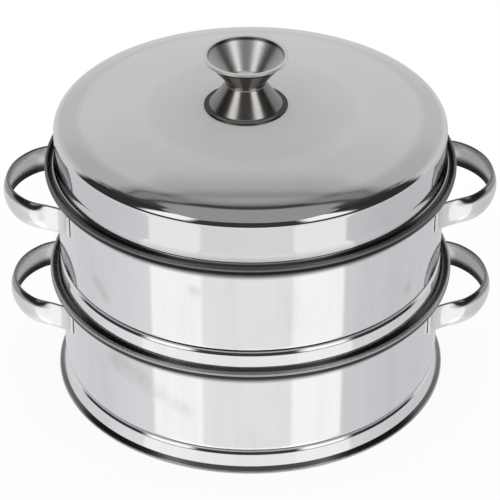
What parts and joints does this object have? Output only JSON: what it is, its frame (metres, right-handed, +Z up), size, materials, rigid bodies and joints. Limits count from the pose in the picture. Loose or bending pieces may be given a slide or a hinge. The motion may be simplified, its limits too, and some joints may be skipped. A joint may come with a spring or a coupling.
{
  "type": "two-tier steamer pot",
  "caption": "Stainless steel steamer: a water pot and a steaming tier stacked foot in rim, with loop handles, a lift-out perforated plate and a domed lid with a spool knob.",
  "frame": {"origin": "on the floor, under the middle of the pot", "axes": "+Z up along the pot's axis, X through the handles, so the picture looks along +Y"},
  "size_m": [0.332, 0.275, 0.2394],
  "materials": {
    "polished_steel": "mirror-polished stainless steel sheet",
    "handle_steel": "polished stainless steel strip",
    "lid_steel": "polished stainless steel sheet, slightly satin on the dome",
    "satin_steel": "satin stainless steel sheet",
    "knob_steel": "turned and brushed stainless steel",
    "fastener_steel": "plain stainless steel"
  },
  "bodies": {
    "lower_pot": {"lower_wall": "polished_steel", "lower_base": "satin_steel", "lower_handle_left": "handle_steel", "lower_handle_right": "handle_steel"},
    "upper_tier": {"upper_wall": "polished_steel", "upper_handle_left": "handle_steel", "upper_handle_right": "handle_steel"},
    "plate": {"steam_plate": "satin_steel"},
    "lid": {"lid_shell": "lid_steel", "knob_bell": "knob_steel", "knob_cup": "knob_steel", "knob_stud": "fastener_steel", "knob_washer": "fastener_steel", "knob_nut": "fastener_steel"}
  },
  "joints": [
    {"name": "upper_tier_lift", "type": "slide", "parent": "lower_pot", "child": "upper_tier", "axis": [0, 0, 1], "range_m": [0, 0.1]},
    {"name": "plate_lift", "type": "slide", "parent": "upper_tier", "child": "plate", "axis": [0, 0, 1], "range_m": [0, 0.055]},
    {"name": "lid_lift", "type": "slide", "parent": "upper_tier", "child": "lid", "axis": [0, 0, 1], "range_m": [0, 0.1]}
  ]
}
